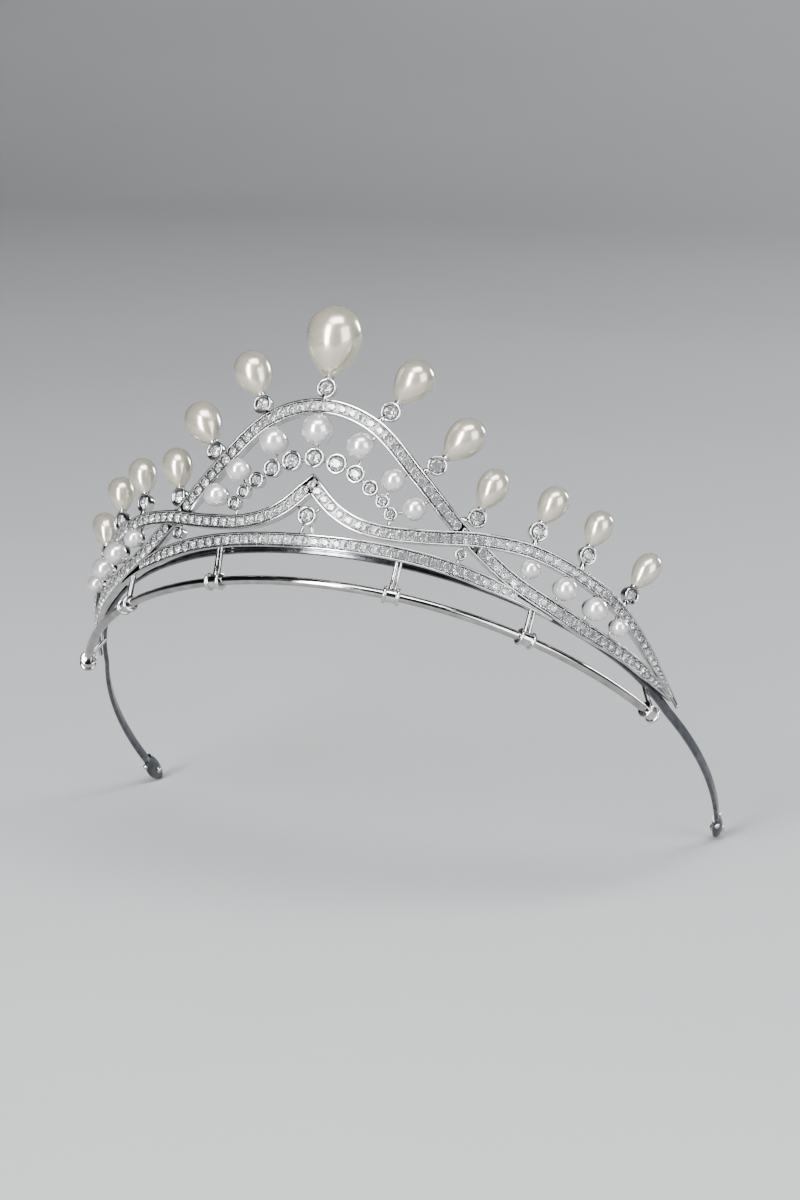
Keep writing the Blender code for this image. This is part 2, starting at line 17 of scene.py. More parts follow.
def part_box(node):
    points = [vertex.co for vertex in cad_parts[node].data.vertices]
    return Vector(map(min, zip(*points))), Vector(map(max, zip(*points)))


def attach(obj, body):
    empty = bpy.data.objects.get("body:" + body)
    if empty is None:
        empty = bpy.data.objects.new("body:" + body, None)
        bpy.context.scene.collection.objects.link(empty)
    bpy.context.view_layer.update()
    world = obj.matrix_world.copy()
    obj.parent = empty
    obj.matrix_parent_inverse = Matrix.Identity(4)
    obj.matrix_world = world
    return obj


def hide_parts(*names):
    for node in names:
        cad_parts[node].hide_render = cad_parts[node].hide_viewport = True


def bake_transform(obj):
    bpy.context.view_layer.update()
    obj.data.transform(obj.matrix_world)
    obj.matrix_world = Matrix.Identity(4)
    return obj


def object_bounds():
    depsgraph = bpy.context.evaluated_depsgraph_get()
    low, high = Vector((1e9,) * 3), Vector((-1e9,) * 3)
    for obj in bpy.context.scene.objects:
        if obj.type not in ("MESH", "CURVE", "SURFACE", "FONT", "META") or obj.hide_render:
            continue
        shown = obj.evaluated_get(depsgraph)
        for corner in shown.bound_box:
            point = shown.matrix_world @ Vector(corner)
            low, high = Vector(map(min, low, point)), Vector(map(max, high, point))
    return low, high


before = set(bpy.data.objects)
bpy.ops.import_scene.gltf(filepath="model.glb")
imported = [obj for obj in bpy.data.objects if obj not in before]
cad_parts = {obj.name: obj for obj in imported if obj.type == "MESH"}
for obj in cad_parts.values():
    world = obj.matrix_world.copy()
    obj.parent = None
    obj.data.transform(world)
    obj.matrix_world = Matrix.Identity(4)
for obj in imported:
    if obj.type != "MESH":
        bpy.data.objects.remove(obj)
cad_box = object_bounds()
print("nodes:", len(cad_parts))

# %% [markdown]
# ## Camera
#
# A long lens, as for jewellery, keeps the headband's curve from looking pinched. The camera
# stands to the right of the front and a little above it, and is turned a trifle on its axis.

# %% Place the camera
MM = 0.001
AIM = Vector((18.2, 5.3, -3.5)) * MM
CAMERA_AZIMUTH = math.radians(19.13)
CAMERA_HEIGHT = math.radians(15.58)
CAMERA_ROLL = math.radians(-0.64)
CAMERA_DISTANCE = 555.4 * MM


def into_scene(name, data):
    made = bpy.data.objects.new(name, data)
    bpy.context.scene.collection.objects.link(made)
    return made


camera = into_scene("camera", bpy.data.cameras.new("camera"))
camera.data.sensor_width = 36
camera.data.lens = 89.4
camera.data.clip_start = 0.01
toward = Vector((-math.sin(CAMERA_AZIMUTH) * math.cos(CAMERA_HEIGHT),
                 math.cos(CAMERA_AZIMUTH) * math.cos(CAMERA_HEIGHT),
                 -math.sin(CAMERA_HEIGHT)))
camera.location = AIM - toward * CAMERA_DISTANCE
level = toward.to_track_quat("-Z", "Y").to_matrix().to_4x4()
camera.rotation_euler = (level @ Matrix.Rotation(CAMERA_ROLL, 4, "Z")).to_euler()
bpy.context.scene.camera = camera
bpy.context.scene.view_settings.look = "AgX - Medium High Contrast"
print("camera at", [round(c, 3) for c in camera.location])

# %% [markdown]
# ## Shader nodes
#
# Each finish is noise that varies the colour, the roughness and the bump. These helpers add its
# nodes to a material.

# %% Node helpers
def put(node, values):
    for name, value in values.items():
        node.inputs[name].default_value = value


def new_material(name, values):
    """A material with its shader's inputs set, its tree and that shader."""
    made = bpy.data.materials.new(name)
    made.use_nodes = True
    shader = made.node_tree.nodes["Principled BSDF"]
    put(shader, values)
    return made, made.node_tree, shader


def noise(tree, scale, detail=3.0, stretch=(1, 1, 1)):
    place = tree.nodes.new("ShaderNodeTexCoord")
    bend = tree.nodes.new("ShaderNodeMapping")
    grain = tree.nodes.new("ShaderNodeTexNoise")
    put(bend, {"Scale": stretch})
    put(grain, {"Scale": scale, "Detail": detail})
    tree.links.new(place.outputs["Object"], bend.inputs["Vector"])
    tree.links.new(bend.outputs["Vector"], grain.inputs["Vector"])
    return grain.outputs["Fac"]


def between(tree, factor, low, high):
    spread = tree.nodes.new("ShaderNodeMapRange")
    put(spread, {"From Min": 0.3, "From Max": 0.7, "To Min": low, "To Max": high})
    tree.links.new(factor, spread.inputs["Value"])
    return spread.outputs["Result"]


def blend_colours(tree, factor, first, second, start=0.3, stop=0.7):
    ramp = tree.nodes.new("ShaderNodeValToRGB")
    for mark, place, colour in zip(ramp.color_ramp.elements, (start, stop), (first, second)):
        mark.position = place
        mark.color = (*colour, 1)
    tree.links.new(factor, ramp.inputs["Fac"])
    return ramp.outputs["Color"]


def roughen(tree, shader, factor, strength, depth):
    bump = tree.nodes.new("ShaderNodeBump")
    put(bump, {"Strength": strength, "Distance": depth})
    tree.links.new(factor, bump.inputs["Height"])
    tree.links.new(bump.outputs["Normal"], shader.inputs["Normal"])


# %% [markdown]
# ## Studio
#
# Polished metal and pearls show what stands around them. A pale sweep gives a calm floor and
# back. A tall soft panel stands on the left, a wide one on the right, a small one behind and one
# hangs overhead. The dim room between them gives the metal its dark stripes, and the tall panel
# gives each pearl an upright highlight.

# %% Build the sweep and the lights
FLOOR = cad_box[0][2]


def sweep_material():
    made, tree, shader = new_material("pale_paper", {"Roughness": 0.85})
    grain = tree.nodes.new("ShaderNodeTexNoise")
    put(grain, {"Scale": 60, "Detail": 5})
    tone = blend_colours(tree, grain.outputs["Fac"], (0.36, 0.365, 0.37), (0.40, 0.405, 0.41), 0, 1)
    tree.links.new(tone, shader.inputs["Base Color"])
    return made


def paper_sweep():
    """A floor that rises into a wall through a wide bend."""
    width, front, back, bend, top = 5.0, -5.0, 0.9, 0.5, 2.2
    profile = [(front, 0.0)]
    for step in range(13):
        a = math.pi / 2 * step / 12
        profile.append((back + bend * math.sin(a), bend * (1 - math.cos(a))))
    profile.append((back + bend, top))
    points = [(x, y, FLOOR + z) for y, z in profile for x in (-width, width)]
    faces = [(2 * i, 2 * i + 1, 2 * i + 3, 2 * i + 2) for i in range(len(profile) - 1)]
    mesh = bpy.data.meshes.new("paper_sweep")
    mesh.from_pydata(points, [], faces)
    mesh.shade_smooth()
    mesh.materials.append(sweep_material())
    paper = into_scene("paper_sweep", mesh)


def soft_panel(name, place, width, height, watts, tint=(1, 1, 1)):
    light = bpy.data.lights.new(name, "AREA")
    light.shape = "RECTANGLE"
    light.size = width
    light.size_y = height
    light.energy = watts
    light.color = tint
    made = into_scene(name, light)
    made.location = place
    made.rotation_euler = (AIM - Vector(place)).to_track_quat("-Z", "Y").to_euler()
    made.visible_camera = False


def dim_room():
    """A room that is pale down by the table and dark above it, for the metal to reflect."""
    world = bpy.data.worlds.new("dim_room")
    world.use_nodes = True
    tree = world.node_tree
    direction = tree.nodes.new("ShaderNodeTexCoord")
    split = tree.nodes.new("ShaderNodeSeparateXYZ")
    tree.links.new(direction.outputs["Generated"], split.inputs["Vector"])
    fall = blend_colours(tree, split.outputs["Z"], (0.24, 0.26, 0.28), (0.012, 0.016, 0.020), 0.02, 0.3)
    tree.links.new(fall, tree.nodes["Background"].inputs["Color"])
    bpy.context.scene.world = world


paper_sweep()
dim_room()
soft_panel("key_panel", (-0.20, -0.95, 0.44), 0.27, 1.0, 24)
soft_panel("side_panel", (1.0, -0.40, 0.36), 0.70, 0.80, 9, (0.96, 0.98, 1))
soft_panel("rim_panel", (0.62, 0.88, 0.24), 0.18, 0.34, 5, (0.93, 0.96, 1))
soft_panel("top_panel", (0.25, -0.30, 1.05), 0.9, 0.45, 13)
print("floor at", round(FLOOR, 4))

# %% [markdown]
# ## The front's surface
#
# The bands were laid out flat and then bent. A place on the front is (s, h): s runs along the rail
# from its centre, h runs up the flared front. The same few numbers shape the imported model, so
# pieces made here fall where its pieces are.

# %% Bend a flat pattern onto the headband
TURN = (0.0176, -4.57e-7, 1.05e-11)  # the rail's heading at s, as factors of s, s cubed and s to the fifth
TILT = math.radians(42.5)
FLARE = math.radians(18.0)
TUCK = 1.94
TUCK_AT = 80.0

PLAN_STEP = 0.1
PLAN_S = np.arange(0, 150, PLAN_STEP)
PLAN_HEADING = TURN[0] * PLAN_S + TURN[1] * PLAN_S**3 + TURN[2] * PLAN_S**5


def running_total(values):
    return np.concatenate([[0], np.cumsum((values[1:] + values[:-1]) / 2) * PLAN_STEP])


PLAN_X = running_total(np.cos(PLAN_HEADING))
PLAN_Y = running_total(np.sin(PLAN_HEADING))
LEAN = Matrix.Rotation(-TILT, 3, "X")
SIDES = ((-1, "left"), (1, "right"))


def plan_value(values, s):
    return float(np.interp(abs(s), PLAN_S, values))


def plan_point(s):
    return Vector((math.copysign(plan_value(PLAN_X, s), s), plan_value(PLAN_Y, s), 0))


def outward(s):
    turn = math.copysign(plan_value(PLAN_HEADING, s), s)
    return Vector((math.sin(turn), -math.cos(turn), 0))


def facing(s, flare=FLARE):
    return outward(s) * math.cos(flare) - Vector((0, 0, math.sin(flare)))


def rising(s, flare=FLARE):
    return outward(s) * math.sin(flare) + Vector((0, 0, math.cos(flare)))


def along(s):
    return facing(s).cross(rising(s)) * -1


def on_front(s, h, proud=0.0):
    return plan_point(s) + outward(s) * (proud - TUCK * (s / TUCK_AT) ** 2) + rising(s) * h


def placed(point):
    """A point in the headband's own millimetres, leaned back and in metres."""
    return LEAN @ Vector(point) * MM


rail_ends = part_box("rail_wire")
print("rail half width", round(rail_ends[1][0] * 1000, 1), "mm; plan gives",
      round(plan_point(78.8).x, 1))

# %% [markdown]
# ## Helpers
#
# Nearly every piece is a loft through rings or a turned shape. One class makes both from points
# and gathers many small solids into one mesh.

# %% Mesh builders
def full_turn(count):
    return np.linspace(0, math.tau, count, endpoint=False)


class Gather:
    """Collects points and faces of many small solids for one object."""

    def __init__(self):
        self.points = []
        self.faces = []
        self.finishes = []

    def merge(self, other, finish):
        """Takes over another gatherer's solids, all in one finish."""
        start = len(self.points)
        self.points.extend(other.points)
        self.faces.extend(tuple(start + i for i in face) for face in other.faces)
        self.finishes.extend([finish] * len(other.faces))

    def add(self, points, faces, finishes=None):
        """Adds a solid; finishes says which of the object's materials each face takes."""
        start = len(self.points)
        self.points.extend(tuple(placed(p)) for p in points)
        self.faces.extend(tuple(start + i for i in face) for face in faces)
        self.finishes.extend(finishes or [0] * len(faces))

    def loft(self, rings, closed=False, sunk_shaded=(), dark=()):
        """Rings of equally many points; closed joins the last ring to the first. Faces that start at
        a sunk point or at a dark ring take the second material, which here is the dark metal of painted
        shade."""
        count = len(rings[0])
        points = [p for ring in rings for p in ring]
        faces = []
        last = len(rings) if closed else len(rings) - 1
        for r in range(last):
            a, b = r * count, ((r + 1) % len(rings)) * count
            faces.extend((a + i, a + (i + 1) % count, b + (i + 1) % count, b + i) for i in range(count))
        finishes = [int(i in sunk_shaded or r in dark) for r in range(last) for i in range(count)]
        if not closed:
            faces.append(tuple(range(count))[::-1])
            faces.append(tuple(range((len(rings) - 1) * count, len(rings) * count)))
            finishes += [0, 0]
        self.add(points, faces, finishes)

    def turn(self, profile, centre, axis, sides, closed=False, dark=()):
        """A turned solid from (radius, height) points; its ends close on small rings."""
        axis = axis.normalized()
        side = axis.orthogonal().normalized()
        other = axis.cross(side)
        rings = []
        for radius, height in profile:
            radius = max(radius, 0.004)
            rings.append([centre + axis * height
                          + (side * math.cos(a) + other * math.sin(a)) * radius
                          for a in full_turn(sides)])
        self.loft(rings, closed, dark=dark)

    def rod(self, start, end, radius, sides=12):
        """A short wire with softly rounded ends."""
        length = (end - start).length
        soft = min(radius * 0.4, length * 0.2)
        profile = ((0, 0), (radius - soft, 0), (radius, soft), (radius, length - soft),
                   (radius - soft, length), (0, length))
        self.turn(profile, start, end - start, sides)

    def ball(self, centre, radius, sides=12):
        steps = np.linspace(0, math.pi, sides // 2 + 1)
        profile = [(radius * math.sin(a), -radius * math.cos(a)) for a in steps]
        self.turn(profile, centre, Vector((0, 0, 1)), sides)

    def build(self, name, *materials, body="front", smooth=True, edge=38, replaces=(),
              slot="rhodium_plate"):
        mesh = bpy.data.meshes.new(name)
        mesh.from_pydata(self.points, [], self.faces)
        for material in materials:
            mesh.materials.append(material)
        mesh.polygons.foreach_set("material_index", self.finishes)
        mesh.update()
        if smooth:
            mesh.shade_smooth()
            mesh.set_sharp_from_angle(angle=math.radians(edge))
        made = into_scene(name, mesh)
        if body:
            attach(made, body)
        if replaces:
            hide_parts(*replaces)
        print(f"{name}: {len(mesh.polygons)} faces")
        return made


# %% [markdown]
# ## Finishes
#
# Rhodium plate is a hard white mirror. What tells it from plain chrome is how it has been worked:
# faint polishing swirls, a slightly softer gleam in the corners. The noise scales are large
# numbers, because object coordinates are metres and the grain is finer than a millimetre.

# %% Metal
def rhodium(name, shine, dull, dark, light, stretch=(1, 1, 1), grain=1500, relief=0.05, patch=420):
    made, tree, shader = new_material(name, {"Metallic": 1.0})
    tree.links.new(blend_colours(tree, noise(tree, patch), dark, light), shader.inputs["Base Color"])
    tree.links.new(between(tree, noise(tree, grain, 4, stretch), shine, dull), shader.inputs["Roughness"])
    roughen(tree, shader, noise(tree, grain * 2.5, 2, stretch), relief, 0.02 * MM)
    return made


polished = rhodium("polished_rhodium", 0.05, 0.13, (0.44, 0.435, 0.43), (0.64, 0.635, 0.63))
drawn_wire = rhodium("drawn_rhodium_wire", 0.08, 0.18, (0.34, 0.33, 0.325), (0.50, 0.485, 0.48),
                     stretch=(0.15, 1, 1), grain=2200)
# Nearly black: a painted reflection of the dark room, for the strip behind the bands, the arms and the caps'
# bodies.
spring_strip_painted_dark_reflection = rhodium("strip_rhodium_painted_dark_reflection", 0.12, 0.24, (0.09, 0.095, 0.105), (0.18, 0.185, 0.195),
                       stretch=(1, 0.2, 1), grain=1800)
# Dark metal for the saddles between the stones: painted shade where the stones overhang them.
painted_shade_seat_metal = rhodium("stone_seat_painted_shade_rhodium", 0.34, 0.5, (0.14, 0.14, 0.145), (0.25, 0.25, 0.255))
# Dark metal that is painted shade: the recessed walls and floors of the channels and the collets' inner
# slopes.
painted_shade_metal = rhodium("painted_shade_rhodium", 0.1, 0.22, (0.10, 0.10, 0.105), (0.22, 0.22, 0.225))
# Mirror facets whose colour runs at random from dark to white: painted glints and dark reflections.
back_facet_painted_sparkle = rhodium("mirror_back_of_stones_painted_sparkle", 0.02, 0.06, (0.14, 0.145, 0.16), (1.0, 1.0, 1.0),
                     relief=0.0, patch=1300)

# %% [markdown]
# A clear stone cut to the right angles sends back nearly all the light that enters it, so its back
# facets act as mirrors. Tracing that through glass is slow and grainy. Here the crown is clear and
# the back facets really are mirrors, their colour painted in random dark and bright patches: painted
# dark reflections and glints, which give the same sparkle at once.

# %% Stones
def clear_stone(name, bend_index, tint):
    made, tree, shader = new_material(name, {"Transmission Weight": 0.88, "IOR": bend_index})
    tree.links.new(blend_colours(tree, noise(tree, 500), tint, (1, 1, 1)), shader.inputs["Base Color"])
    tree.links.new(between(tree, noise(tree, 900), 0.0, 0.03), shader.inputs["Roughness"])
    return made


pave_crystal = clear_stone("pave_crystal", 1.8, (0.95, 0.96, 0.98))
bezel_crystal = clear_stone("bezel_crystal", 1.75, (0.96, 0.965, 0.98))

# %% [markdown]
# Nacre is layered: a satin body under a clear skin. The drops are cream, the round pearls whiter
# with a breath of rose. A thin film gives the skin its faint colour play, and a shallow ripple
# keeps the highlight from being glassy.

# %% Nacre
def nacre(name, shade, body, warm, skin):
    made, tree, shader = new_material(name, {
        "Metallic": 0.55, "Specular IOR Level": 0.8,
        "Subsurface Weight": 0.12, "Subsurface Radius": (1.0, 0.85, 0.7), "Subsurface Scale": 1.2 * MM,
        "Coat Weight": skin, "Coat Roughness": 0.07,
        "Thin Film Thickness": 420, "Thin Film IOR": 1.55})
    clouds = blend_colours(tree, noise(tree, 190, 4), shade, body)
    blush = tree.nodes.new("ShaderNodeMix")
    blush.data_type = "RGBA"
    tree.links.new(between(tree, noise(tree, 90, 1), 0.0, 0.5), blush.inputs["Factor"])
    tree.links.new(clouds, blush.inputs[6])
    blush.inputs[7].default_value = (*warm, 1)
    tree.links.new(blush.outputs[2], shader.inputs["Base Color"])
    tree.links.new(between(tree, noise(tree, 600, 5), 0.17, 0.28), shader.inputs["Roughness"])
    roughen(tree, shader, noise(tree, 260, 3), 0.08, 0.06 * MM)
    return made


drop_nacre = nacre("cream_drop_nacre", (0.42, 0.40, 0.345), (0.52, 0.50, 0.435), (0.52, 0.475, 0.385), 1.0)
round_nacre = nacre("white_round_nacre", (0.53, 0.53, 0.525), (0.63, 0.63, 0.625), (0.61, 0.565, 0.565), 0.8)

# %% [markdown]
# ## Bands
#
# Each band is a channel: two half-round rims, sloped walls, and a floor far enough down for the
# stones to hang between the rims. The walls and the floor are coloured dark as painted shade in the
# recess. It could be a curve with a bevel profile, but the bands twist with the headband, so a loft
# through sections keeps the rims square to the front.

# %% Centre lines and widths
ARCH_LINE = ((0, 33.7), (9, 31.0), (18.2, 22.8), (25.7, 16.4), (36.4, 10.4), (51.7, 7.4), (70, 7.0),
             (89, 6.5))
OGEE_LINE = ((0, 18.7), (4.2, 14.5), (8.5, 12.2), (12.8, 11.4), (20.6, 12.1), (32.1, 14.8), (40.2, 16.0),
             (49.6, 15.8), (61, 14.3), (70.9, 11.3), (81.6, 8.1), (89, 6.6))
BASE_LINE = ((0, 7.8), (30, 7.7), (40, 6.95), (49, 5.9))
STRIP_LINE = ((0, 7.2), (60, 6.9), (75, 6.4), (88, 5.24), (136.3, 0.2))
ARCH_WIDTH = ((0, 1.4), (29, 1.4), (50, 1.55), (75, 1.3), (89, 0.3))
OGEE_WIDTH = ((0, 1.4), (50, 1.4), (75, 1.2), (89, 0.3))
BASE_WIDTH = ((0, 1.4), (35, 1.4), (49, 0.3))
BAND_DEPTH = 2.2
BAND_TIP_DEPTH = 0.8
BAND_TIP = 89.0
CROSSING = 29.0
MITRE_END = 1.3  # the ogee's next section after its peak


def through(knots, level_start=False):
    """A smooth curve through (s, value) knots, even in s."""
    at = np.array([k[0] for k in knots], float)
    value = np.array([k[1] for k in knots], float)
    slope = np.gradient(value, at)
    if level_start:
        slope[0] = 0.0

    def curve(s):
        s = min(abs(s), at[-1])
        i = min(int(np.searchsorted(at, s, side="right")) - 1, len(at) - 2)
        span = at[i + 1] - at[i]
        t = (s - at[i]) / span
        start = value[i] * (1 + 2 * t) * (1 - t) ** 2 + slope[i] * span * t * (1 - t) ** 2
        finish = value[i + 1] * t * t * (3 - 2 * t) - slope[i + 1] * span * t * t * (1 - t)
        return start + finish

    return curve


def straight_between(knots):
    at = [k[0] for k in knots]
    value = [k[1] for k in knots]
    return lambda s: float(np.interp(abs(s), at, value))


arch_height = through(ARCH_LINE, level_start=True)
ogee_height = through(OGEE_LINE)
base_height = through(BASE_LINE, level_start=True)
strip_height = through(STRIP_LINE, level_start=True)
arch_width = straight_between(ARCH_WIDTH)
ogee_width = straight_between(OGEE_WIDTH)
base_width = straight_between(BASE_WIDTH)
ARCH = (arch_height, arch_width)
OGEE = (ogee_height, ogee_width)
BASE = (base_height, base_width)


def band_depth(s):
    return BAND_DEPTH - (BAND_DEPTH - BAND_TIP_DEPTH) * (min(abs(s), BAND_TIP) / BAND_TIP) ** 2


def pattern_normal(height, s):
    """Upward unit normal of a centre line in the flat pattern, and how much a mitre stretches it."""
    if s == 0:
        slope = (height(0.5) - height(0)) / 0.5
        return 0.0, 1.0, math.hypot(1, slope)
    step = math.copysign(0.05, s)
    slope = (height(s) - height(s - step)) / step
    length = math.hypot(1, slope)
    return -slope / length, 1 / length, 1.0


def band_point(height, s, across, proud):
    """A point across a band from its centre line, and proud of its face."""
    step_s, step_h, mitre = pattern_normal(height, s)
    at = s + step_s * across * mitre
    return on_front(at, height(s) + step_h * across * mitre) + facing(at) * proud


# %% Channel section
RIM = 0.42
FLOOR_DEPTH = 1.1
# Faces of the channel's inner walls and floor, which take the dark painted shade.
SUNK_SHADED_FACES = (8, 9, 10)


def rim_width(half):
    """A rim's width, which narrows where the band does."""
    return min(RIM, half * 0.55)


def channel_section(half, depth):
    """Section of a band as (across, proud): half-round rims, sloped walls and a floor."""
    rim = rim_width(half)
    floor = -min(FLOOR_DEPTH, depth - 0.25) * min(1, half)
    right = [(half - 0.12, -depth), (half, -depth + 0.15), (half, -rim / 2)]
    for step in range(1, 6):
        a = math.pi * step / 6
        right.append((half - rim / 2 + rim / 2 * math.cos(a), -rim / 2 + rim / 2 * math.sin(a)))
    right.append((half - rim, -rim / 2 - 0.05))
    right.append((half - rim - min(0.06, half * 0.1), floor))
    left = [(-across, proud) for across, proud in right[::-1]]
    return right + left


def channel_band(name, height, width, places, replaces):
    rings = [[band_point(height, s, *spot) for spot in channel_section(width(s), band_depth(s))]
             for s in places]
    metalwork = Gather()
    metalwork.loft(rings, sunk_shaded=SUNK_SHADED_FACES)
    return metalwork.build(name, polished, painted_shade_metal, replaces=replaces, edge=50)


def stations(start, stop, spacing):
    return np.linspace(start, stop, max(2, round(abs(stop - start) / spacing) + 1)).tolist()


def ogee_places(end, spacing):
    side = stations(MITRE_END, end, spacing)
    return [-s for s in reversed(side)] + [0] + side


# %% [markdown]
# Where two bands meet, the goldsmith files one to fit the other. The ogee is whole. The arch is cut
# where the ogee crosses it, and the base band is filed to a point under the leg. A Boolean with a
# slightly fatter copy of the whole band does that filing.

# %% Cut the joints
SOLDER_GAP = 0.02
GUIDE_DEPTH = 4
GUIDE_PROUD = 1
GUIDE_STEP = 1.2
LEG_GUIDE_END = 87
LEG_END = 86


def filed_against(target, cutters):
    """Cuts the target with solid guides and applies the cut."""
    for cutter in cutters:
        cut = target.modifiers.new("filed", "BOOLEAN")
        cut.operation = "DIFFERENCE"
        cut.object = cutter
        cut.solver = "EXACT"
    shaped = bpy.data.meshes.new_from_object(
        target.evaluated_get(bpy.context.evaluated_depsgraph_get()))
    target.modifiers.clear()
    target.data = shaped
    shaped.shade_smooth()
    shaped.set_sharp_from_angle(angle=math.radians(50))


def guide(height, width, places):
    rings = []
    for s in places:
        half = width(s) + SOLDER_GAP
        corners = ((half, -GUIDE_DEPTH), (half, GUIDE_PROUD), (-half, GUIDE_PROUD), (-half, -GUIDE_DEPTH))
        rings.append([band_point(height, s, *corner) for corner in corners])
    block = Gather()
    block.loft(rings)
    mesh = bpy.data.meshes.new("guide")
    mesh.from_pydata(block.points, [], block.faces)
    return into_scene("guide", mesh)


ogee_guide = guide(*OGEE, ogee_places(BAND_TIP, GUIDE_STEP))
leg_guides = [guide(*ARCH, stations(side * CROSSING, side * LEG_GUIDE_END, GUIDE_STEP))
              for side in (-1, 1)]

arch = channel_band("arch_channel", *ARCH, stations(-CROSSING, CROSSING, 0.6), ("arch_band",))
filed_against(arch, [ogee_guide])
channel_band("ogee_channel", *OGEE, ogee_places(BAND_TIP, 0.7), ("ogee_band",))
base = channel_band("base_channel", *BASE, stations(-BASE_LINE[-1][0], BASE_LINE[-1][0], 0.8),
                    ("base_band",))
filed_against(base, leg_guides)
for side, word in SIDES:
    leg = channel_band(f"{word}_leg_channel", *ARCH, stations(side * CROSSING, side * LEG_END, 0.8),
                       (f"{word}_leg_band",))
    filed_against(leg, [ogee_guide])
for block in [ogee_guide] + leg_guides:
    bpy.data.objects.remove(block)

# %% [markdown]
# ## Pave
#
# Every stone is a brilliant: an eight-sided table, a crown of kites and stars, a thin girdle and
# a pointed pavilion. It is cut once as a list of points and faces, then set along the channels by
# distance, so the rows stay even round the bends. Between two stones a bit of metal is left
# standing, and four little beads raised from it hold them.

# %% Cut one brilliant
def ring_points(radius, height, count, shift=0.0):
    return [(radius * math.cos(math.tau * (i + shift) / count),
             radius * math.sin(math.tau * (i + shift) / count), height) for i in range(count)]


def brilliant():
    """Points, crown faces and back faces of a stone of radius 1, girdle at height 0."""
    table = ring_points(0.56, 0.34, 8)
    stars = ring_points(0.80, 0.20, 8, 0.5)
    girdle = ring_points(1.0, 0.03, 16)
    lower = ring_points(1.0, -0.04, 16)
    mains = ring_points(0.34, -0.60, 8, 0.5)
    points = table + stars + girdle + lower + mains + [(0, 0, -0.86)]
    t, k, g, lo, m, culet = 0, 8, 16, 32, 48, 56
    crown, back = [tuple(range(8))], []
    for i in range(8):
        j = (i + 1) % 8
        edge = 2 * i
        crown.append((t + i, k + i, t + j))
        crown.append((t + i, k + (i - 1) % 8, g + edge, k + i))
        crown.append((k + i, g + edge, g + edge + 1))
        crown.append((k + i, g + edge + 1, g + (edge + 2) % 16))
        back.append((lo + edge, m + i, lo + edge + 1))
        back.append((lo + edge + 1, m + i, lo + (edge + 2) % 16))
        back.append((lo + edge, m + (i - 1) % 8, culet, m + i))
    for i in range(16):
        back.append((g + i, lo + i, lo + (i + 1) % 16, g + (i + 1) % 16))
    return points, crown, back


STONE_POINTS, CROWN_FACES, BACK_FACES = brilliant()


def set_stone(row, centre, face, radius, spin):
    side = face.orthogonal().normalized()
    other = face.cross(side)
    c, n = math.cos(spin), math.sin(spin)
    points = []
    for x, y, z in STONE_POINTS:
        u, v = x * c - y * n, x * n + y * c
        points.append(centre + (side * u + other * v + face * z) * radius)
    row.add(points, CROWN_FACES + BACK_FACES, [0] * len(CROWN_FACES) + [1] * len(BACK_FACES))


def build_stones(stones, name, crystal, replaces=()):
    stones.build(name, crystal, back_facet_painted_sparkle, smooth=False, replaces=replaces, slot="crystal_pave")


# %% Set the rows
PAVE_PITCH = 1.14
GIRDLE_DEPTH = 0.34
ROW_MARGIN = 0.1
STONE_FIT = 0.93  # a stone's radius as a share of the room between the rims
SMALLEST_STONE = 0.3
chance = random.Random(11)


def row_places(height, width, start, stop, margin=ROW_MARGIN):
    """(s, radius) of stones along a band, spaced by their own sizes and spread to fill its length."""
    fine = np.linspace(start, stop, 1600)
    line = np.array([band_point(height, float(s) or 0.001, 0, 0) for s in fine])
    run = np.concatenate([[0], np.cumsum(np.linalg.norm(np.diff(line, axis=0), axis=1))])
    middles = []
    at = 0.0
    while True:
        s = float(np.interp(margin + at, run, fine))
        radius = max(SMALLEST_STONE, (width(s) - RIM) * STONE_FIT)
        if at + 2 * radius * PAVE_PITCH > run[-1] - 2 * margin:
            break
        middles.append((at + radius * PAVE_PITCH, radius))
        at += 2 * radius * PAVE_PITCH
    spare = (run[-1] - 2 * margin) / at
    return [(float(np.interp(margin + middle * spare, run, fine)), radius) for middle, radius in middles]


BEAD_RADIUS = 0.17
BEAD_SPREAD = 0.25
SADDLE_TOP = -0.3
SADDLE_FOOT = -0.8


def claw(beads, foot, face, radius, tall):
    profile = ((radius, 0), (radius, tall - radius), (radius * 0.85, tall - radius * 0.45),
               (radius * 0.45, tall - radius * 0.1), (0, tall))
    beads.turn(profile, foot, face, 7)


def saddle(metal, height, near, far, radius):
    """The metal left standing between two stones: narrow in the middle, wide at the rims. It is coloured dark
    as painted shade.
    """
    half = radius * PAVE_PITCH
    middle = (near + far) / 2
    scale = min(1, radius)
    rings = []
    for across in np.linspace(-0.95, 0.95, 9) * radius:
        reach = max(0.05, half - math.sqrt(radius**2 - across**2)) * (far - near) / (2 * half)
        corners = ((-1, SADDLE_TOP), (1, SADDLE_TOP), (1, SADDLE_FOOT), (-1, SADDLE_FOOT))
        rings.append([band_point(height, middle + reach * u, float(across), proud * scale)
                      for u, proud in corners])
    metal.loft(rings)


